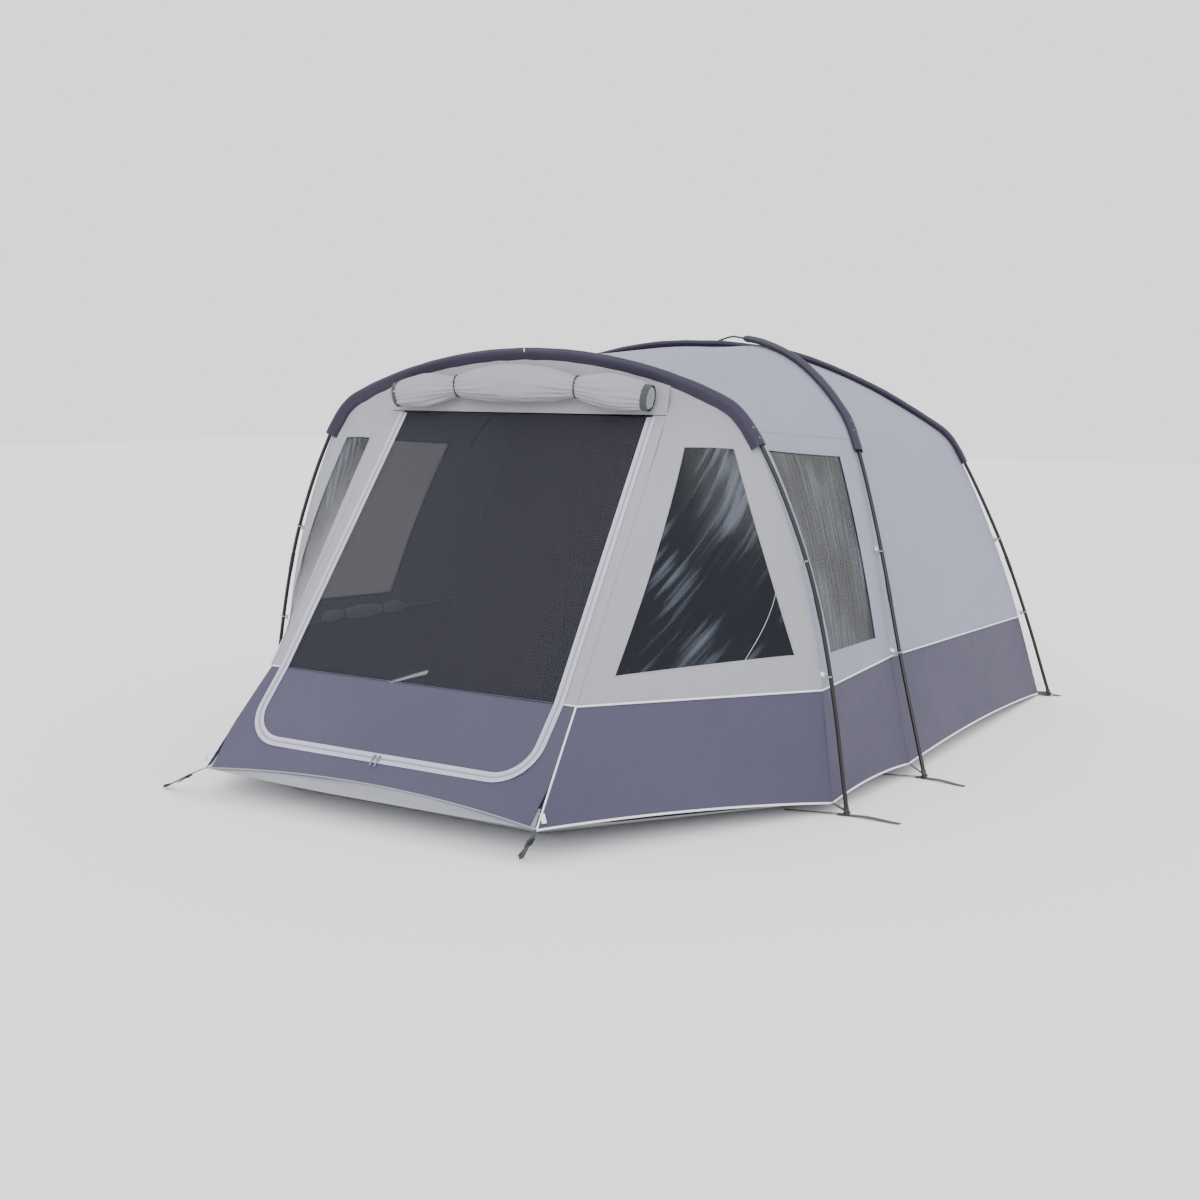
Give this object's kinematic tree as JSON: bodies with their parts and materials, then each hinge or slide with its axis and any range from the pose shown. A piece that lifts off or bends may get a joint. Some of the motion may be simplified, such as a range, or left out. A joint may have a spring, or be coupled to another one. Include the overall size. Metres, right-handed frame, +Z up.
{
  "type": "family camping tent",
  "caption": "Family tent with one front hoop and two crossed roof poles, cloth fly, side windows, U-shaped front door and inner bedroom.",
  "frame": {"origin": "on the ground, midway across and along the pitched tent", "axes": "+X the tent's right side seen from the front door, -Y the front door, +Z up"},
  "size_m": [3.624, 4.0986, 1.9872],
  "materials": {
    "light_cloth": "matt polycotton weave",
    "front_cloth": "matt polycotton weave, a little warmer",
    "dark_cloth": "coated polyester, slight sheen",
    "sleeve_cloth": "heavy polyester sleeve cloth",
    "bedroom_cloth": "thin breathable dark polyester",
    "insect_mesh": "fine knitted mesh",
    "clear_window": "flexible clear PVC, glossy and creased",
    "groundsheet": "woven polyethylene sheet",
    "webbing": "woven polypropylene webbing",
    "fibreglass": "dark wrapped fibreglass rod",
    "steel_tube": "black powder coat",
    "zip_metal": "grey painted zinc"
  },
  "bodies": {
    "tent": {"bay_left_wall": "light_cloth", "bay_left_window": "clear_window", "bay_right_wall": "light_cloth", "bay_right_window": "clear_window", "bay_valance_left": "dark_cloth", "bay_valance_right": "dark_cloth", "bedroom_back": "bedroom_cloth", "bedroom_front": "bedroom_cloth", "bedroom_side_left": "bedroom_cloth", "bedroom_side_right": "bedroom_cloth", "cross_front_strap_left": "webbing", "cross_front_strap_right": "webbing", "cross_rear_strap_left": "webbing", "cross_rear_strap_right": "webbing", "dome_side_left": "light_cloth", "dome_side_right": "light_cloth", "dome_valance_left": "dark_cloth", "dome_valance_right": "dark_cloth", "front_header": "front_cloth", "front_hoop_elbow_left": "steel_tube", "front_hoop_elbow_right": "steel_tube", "front_hoop_leg_left": "steel_tube", "front_hoop_leg_right": "steel_tube", "front_hoop_roof_pole": "fibreglass", "front_hoop_sleeve": "sleeve_cloth", "front_hoop_strap_left": "webbing", "front_hoop_strap_right": "webbing", "front_post_left": "front_cloth", "front_post_right": "front_cloth", "front_roof": "light_cloth", "front_valance": "dark_cloth", "front_wing_left_wall": "front_cloth", "front_wing_left_window": "clear_window", "front_wing_right_wall": "front_cloth", "front_wing_right_window": "clear_window", "groundsheet": "groundsheet", "groundsheet_lip": "groundsheet", "over_pole_elbow_front_right": "steel_tube", "over_pole_elbow_rear_left": "steel_tube", "over_pole_leg_front_right": "steel_tube", "over_pole_leg_rear_left": "steel_tube", "over_pole_roof_pole": "fibreglass", "over_pole_sleeve_front": "sleeve_cloth", "over_pole_sleeve_rear": "sleeve_cloth", "rear_panel": "light_cloth", "rear_valance": "dark_cloth", "rolled_outer_door": "front_cloth", "under_pole_elbow_front_left": "steel_tube", "under_pole_elbow_rear_right": "steel_tube", "under_pole_leg_front_left": "steel_tube", "under_pole_leg_rear_right": "steel_tube", "under_pole_roof_pole": "fibreglass", "under_pole_sleeve": "sleeve_cloth", "wing_valance_left": "dark_cloth", "wing_valance_right": "dark_cloth"},
    "front_door": {"door_mesh": "insect_mesh", "door_lower_panel": "dark_cloth"},
    "zip_slider_left": {"zip_slider_left": "zip_metal"},
    "zip_slider_right": {"zip_slider_right": "zip_metal"},
    "bedroom_door": {"bedroom_door": "bedroom_cloth"}
  },
  "joints": [
    {"name": "front_door_swing", "type": "hinge", "parent": "tent", "child": "front_door", "pos_m": [0, -0.902, 1.588], "axis": [-1, 0, 0], "range_deg": [0, 50]},
    {"name": "zip_left_slide", "type": "slide", "parent": "front_door", "child": "zip_slider_left", "axis": [-1, 0, 0], "range_m": [0, 0.46]},
    {"name": "zip_right_slide", "type": "slide", "parent": "front_door", "child": "zip_slider_right", "axis": [1, 0, 0], "range_m": [0, 0.46]},
    {"name": "bedroom_door_swing", "type": "hinge", "parent": "tent", "child": "bedroom_door", "pos_m": [-0.43, 0.094, 0.01], "axis": [0, -0.1561, -0.9877], "range_deg": [0, 80]}
  ]
}
